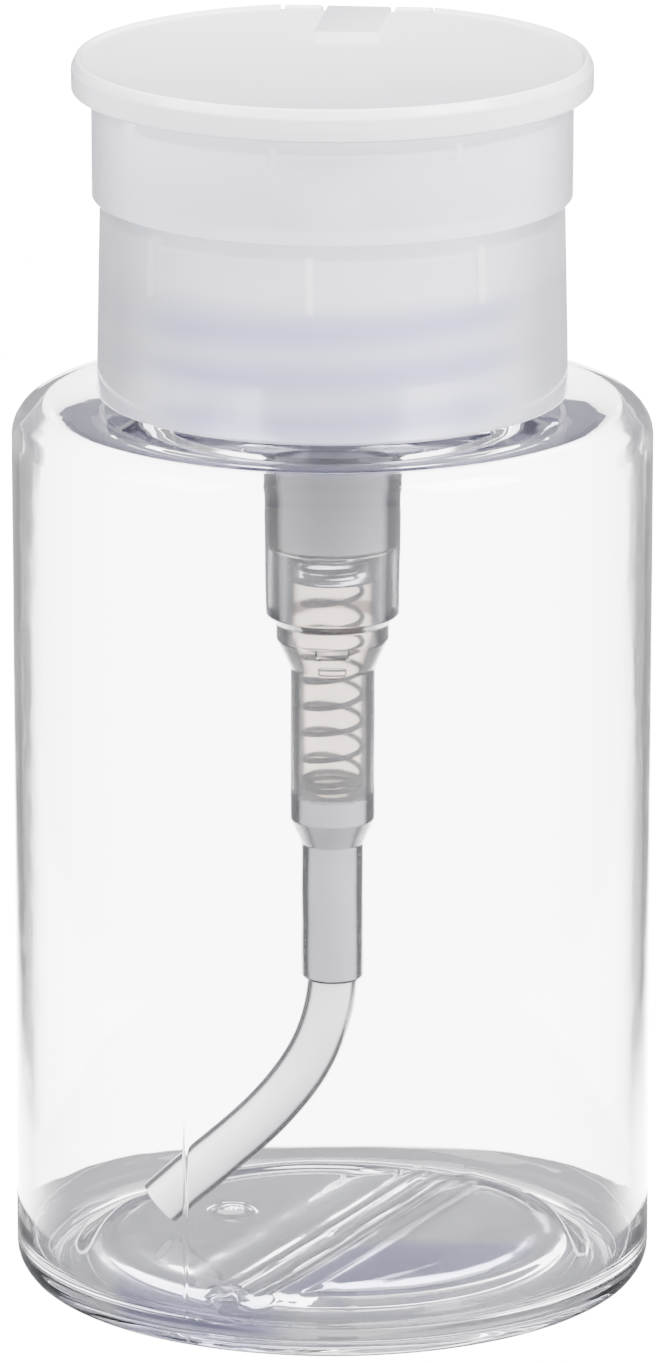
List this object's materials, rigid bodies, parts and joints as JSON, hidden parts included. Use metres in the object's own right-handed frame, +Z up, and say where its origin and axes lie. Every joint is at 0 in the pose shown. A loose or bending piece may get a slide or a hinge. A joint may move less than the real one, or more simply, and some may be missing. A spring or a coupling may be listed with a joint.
{
  "type": "push-down soap dispenser",
  "caption": "Clear round bottle with a screw collar, a spring plunger pump with a dip tube, and a press head with a shallow dish under a hinged flip lid.",
  "frame": {"origin": "centre of the bottle's base, in the plane that it stands on", "axes": "+Z up along the bottle's axis, -Y to the front, with the lid's hinge at the back and the dip tube's end towards -X"},
  "size_m": [0.06, 0.06, 0.1174],
  "materials": {
    "clear_bottle": "clear blown plastic, polished",
    "frosted_plastic": "translucent moulded plastic, satin",
    "milky_plastic": "translucent moulded plastic, smooth",
    "white_plastic": "natural moulded plastic, smooth",
    "sealing_foam": "closed-cell sealing foam",
    "stainless_steel": "bright drawn wire and polished balls"
  },
  "bodies": {
    "bottle_body": {"bottle": "clear_bottle"},
    "pump_body": {"pump_housing": "milky_plastic", "neck_gasket": "sealing_foam", "stem_guide": "white_plastic", "dip_tube": "milky_plastic", "return_spring": "stainless_steel"},
    "collar_body": {"screw_collar": "frosted_plastic"},
    "plunger_body": {"piston": "milky_plastic", "piston_stem": "white_plastic", "press_head": "frosted_plastic", "nozzle_cap": "white_plastic", "hinge_pin": "white_plastic"},
    "lid_body": {"lid": "frosted_plastic"},
    "inlet_ball_body": {"inlet_ball": "stainless_steel"},
    "outlet_ball_body": {"outlet_ball": "stainless_steel"}
  },
  "joints": [
    {"name": "pump_lift", "type": "slide", "parent": "bottle_body", "child": "pump_body", "axis": [0, 0, 1], "range_m": [0, 0.0063]},
    {"name": "collar_turn", "type": "hinge", "parent": "pump_body", "child": "collar_body", "pos_m": [0, 0, 0.0995], "axis": [0, 0, 1], "range_deg": [0, 540]},
    {"name": "head_press", "type": "slide", "parent": "pump_body", "child": "plunger_body", "axis": [0, 0, -1], "range_m": [0, 0.005], "stiffness_N_per_m": 600, "springref_m": -0.003, "deforming": ["return_spring"]},
    {"name": "lid_hinge", "type": "hinge", "parent": "plunger_body", "child": "lid_body", "pos_m": [0.0025, 0.02377, 0.1157], "axis": [0.9945, -0.1045, 0], "range_deg": [-115, 0]},
    {"name": "inlet_lift", "type": "slide", "parent": "pump_body", "child": "inlet_ball_body", "axis": [0, 0, 1], "range_m": [0, 0.0006]},
    {"name": "outlet_lift", "type": "slide", "parent": "plunger_body", "child": "outlet_ball_body", "axis": [0, 0, 1], "range_m": [0, 0.0012]}
  ],
  "couplings": [
    {"joint": "pump_lift", "follows": "collar_turn", "m_per_rad": 0.00066845}
  ]
}
